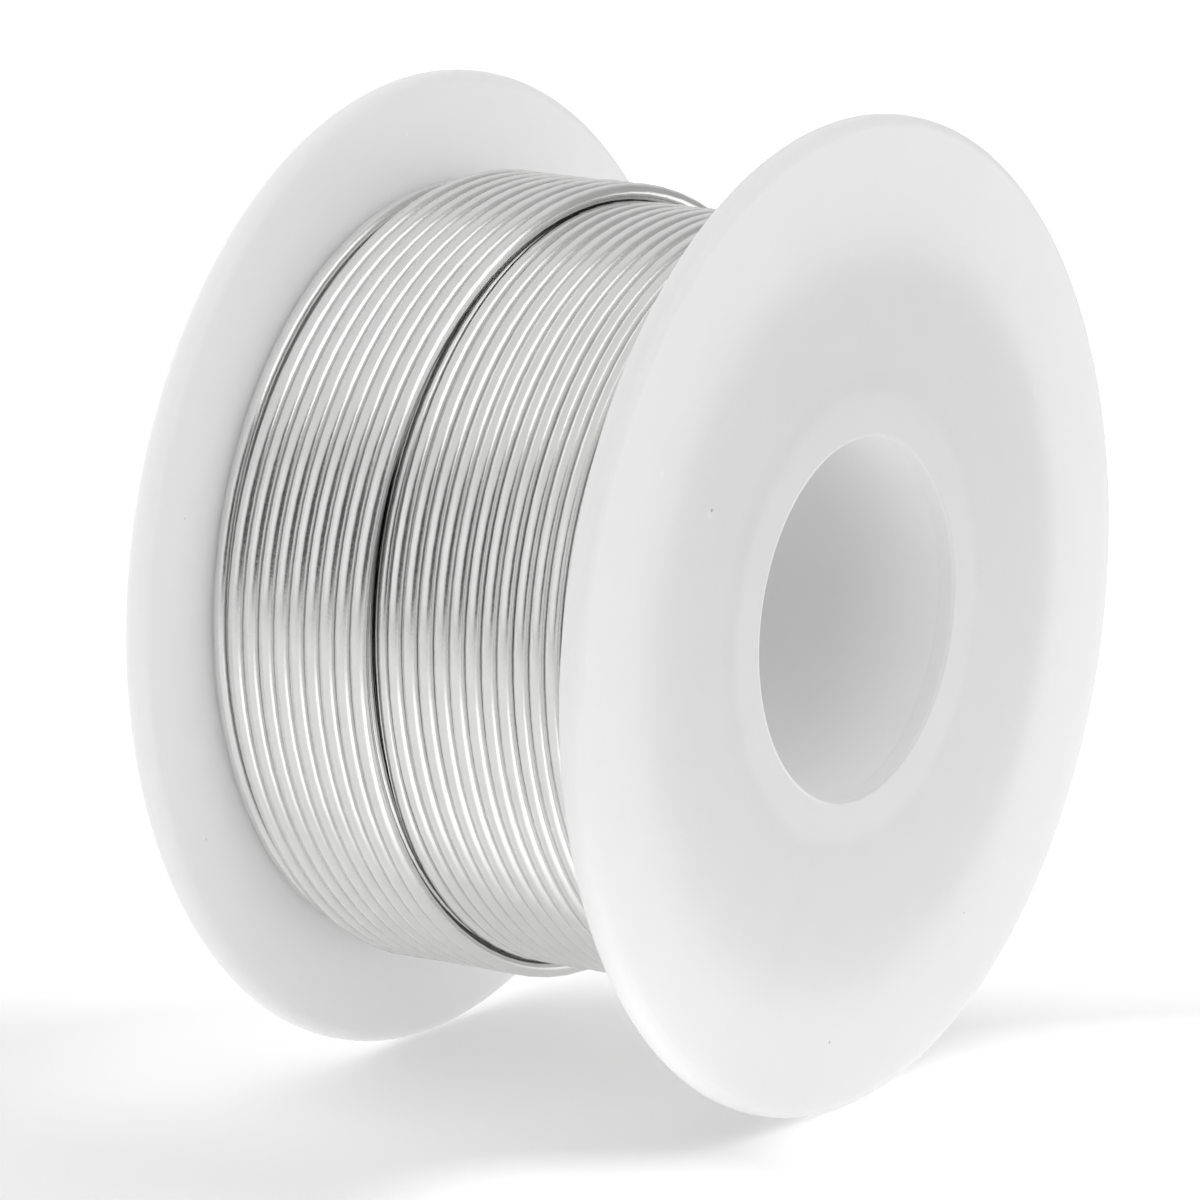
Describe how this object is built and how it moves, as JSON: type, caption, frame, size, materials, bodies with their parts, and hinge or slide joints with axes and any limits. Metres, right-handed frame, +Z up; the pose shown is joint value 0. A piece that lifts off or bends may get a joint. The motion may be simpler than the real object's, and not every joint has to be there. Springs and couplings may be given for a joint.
{
  "type": "solder wire spool",
  "caption": "Small reel of fine solder wire: two thin round flanges on a hub tube with a through axle hole, and silvery wire close-wound in layers between them.",
  "frame": {"origin": "middle of the axle hole, half way between the flanges", "axes": "+X along the axle hole, away from the side where the top layer of wire is; +Z up with the reel standing on its two rims; -Y is the front"},
  "size_m": [0.0236, 0.044, 0.044],
  "materials": {
    "flange_plastic": "milky white translucent moulded polypropylene, satin",
    "hub_plastic": "milky white translucent moulded polypropylene, satin",
    "solder": "bright silvery grey drawn tin-lead wire",
    "flux": "clear amber rosin"
  },
  "bodies": {
    "root": {"hub_tube": "hub_plastic", "near_flange": "flange_plastic", "far_flange": "flange_plastic", "solder_layer_1": "solder", "solder_layer_2": "solder", "solder_layer_3": "solder", "solder_layer_4": "solder", "solder_layer_5": "solder", "solder_layer_6": "solder", "solder_layer_7": "solder", "solder_layer_8": "solder", "solder_layer_9": "solder", "solder_top_layer": "solder", "solder_loose_end": "solder", "flux_core": "flux"}
  },
  "joints": []
}
